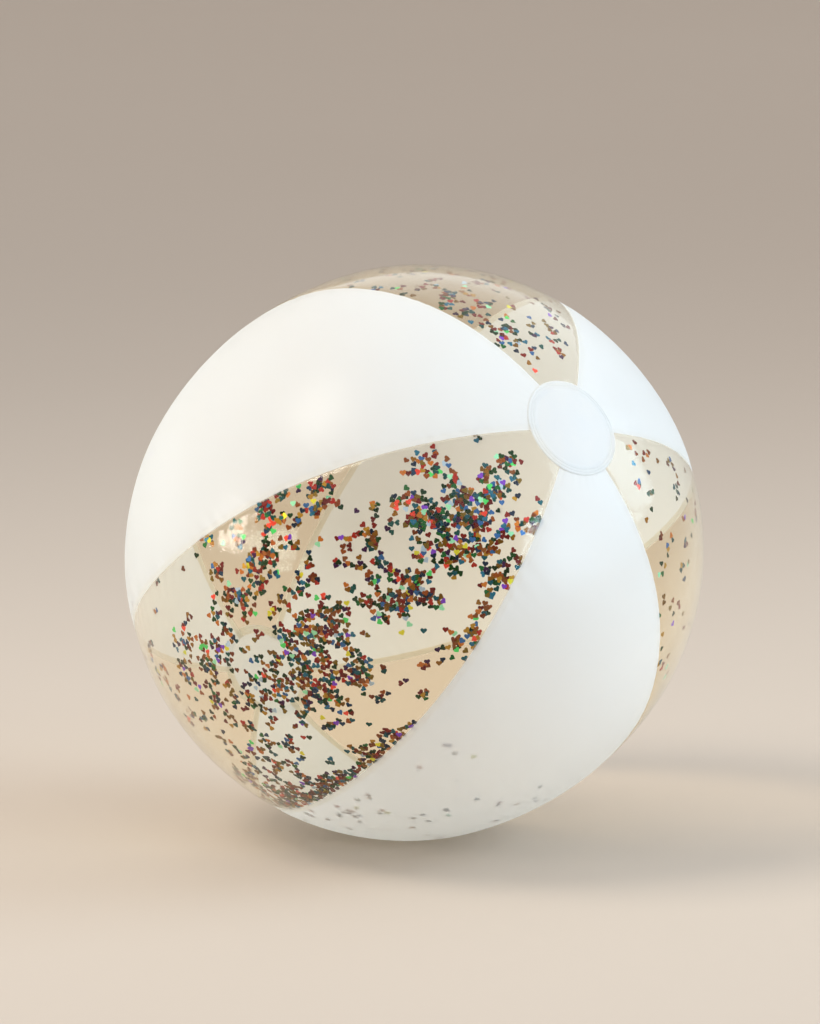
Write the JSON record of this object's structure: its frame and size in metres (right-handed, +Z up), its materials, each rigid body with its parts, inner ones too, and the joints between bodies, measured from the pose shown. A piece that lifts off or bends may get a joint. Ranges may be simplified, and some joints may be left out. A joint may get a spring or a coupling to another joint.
{
  "type": "inflatable beach ball",
  "caption": "Inflatable beach ball of alternating white and clear vinyl gores with round end caps, a push-in valve with tethered plug, and loose heart confetti inside.",
  "frame": {"origin": "on the ground under the centre of the ball, at the centre of the bounding box's base", "axes": "+Z up with the ball at rest on the flat that the ground presses into one white gore; the pole axis through the two end caps leans 55.8 degrees from +Z, its front cap towards +X and -Y"},
  "size_m": [0.3892, 0.39, 0.3879],
  "materials": {
    "white_film": "satin opaque white vinyl film",
    "clear_film": "glossy clear vinyl film with a faint warm tint",
    "valve_vinyl": "soft translucent vinyl, satin",
    "confetti_red": "metallised film with rainbow glints",
    "confetti_copper": "metallised film with rainbow glints",
    "confetti_gold": "metallised film with rainbow glints",
    "confetti_green": "metallised film with rainbow glints",
    "confetti_teal": "metallised film with rainbow glints",
    "confetti_navy": "metallised film with rainbow glints"
  },
  "bodies": {
    "ball": {"gore_white_left": "white_film", "gore_white_under": "white_film", "gore_white_right": "white_film", "gore_clear_front": "clear_film", "gore_clear_right": "clear_film", "gore_clear_top": "clear_film", "end_cap_front": "white_film", "end_cap_rear": "white_film", "valve_flange": "valve_vinyl", "valve_skirt": "valve_vinyl", "confetti_red": "confetti_red", "confetti_copper": "confetti_copper", "confetti_gold": "confetti_gold", "confetti_green": "confetti_green", "confetti_teal": "confetti_teal", "confetti_navy": "confetti_navy"},
    "stem": {"valve_stem": "valve_vinyl"},
    "plug": {"valve_plug": "valve_vinyl", "plug_strap": "valve_vinyl"},
    "flap": {"valve_check_flap": "valve_vinyl"}
  },
  "joints": [
    {"name": "stem_travel", "type": "slide", "parent": "ball", "child": "stem", "axis": [0.7072, 0.5384, 0.4581], "range_m": [0, 0.009], "deforming": ["valve_skirt"]},
    {"name": "plug_swing", "type": "hinge", "parent": "stem", "child": "plug", "pos_m": [0.14167, 0.08723, 0.28932], "axis": [0.6175, -0.155, -0.7711], "range_deg": [0, 100]},
    {"name": "flap_open", "type": "hinge", "parent": "stem", "child": "flap", "pos_m": [0.13236, 0.08375, 0.28257], "axis": [-0.6175, 0.155, 0.7711], "range_deg": [0, 45], "stiffness_Nm_per_rad": 0.0001}
  ]
}
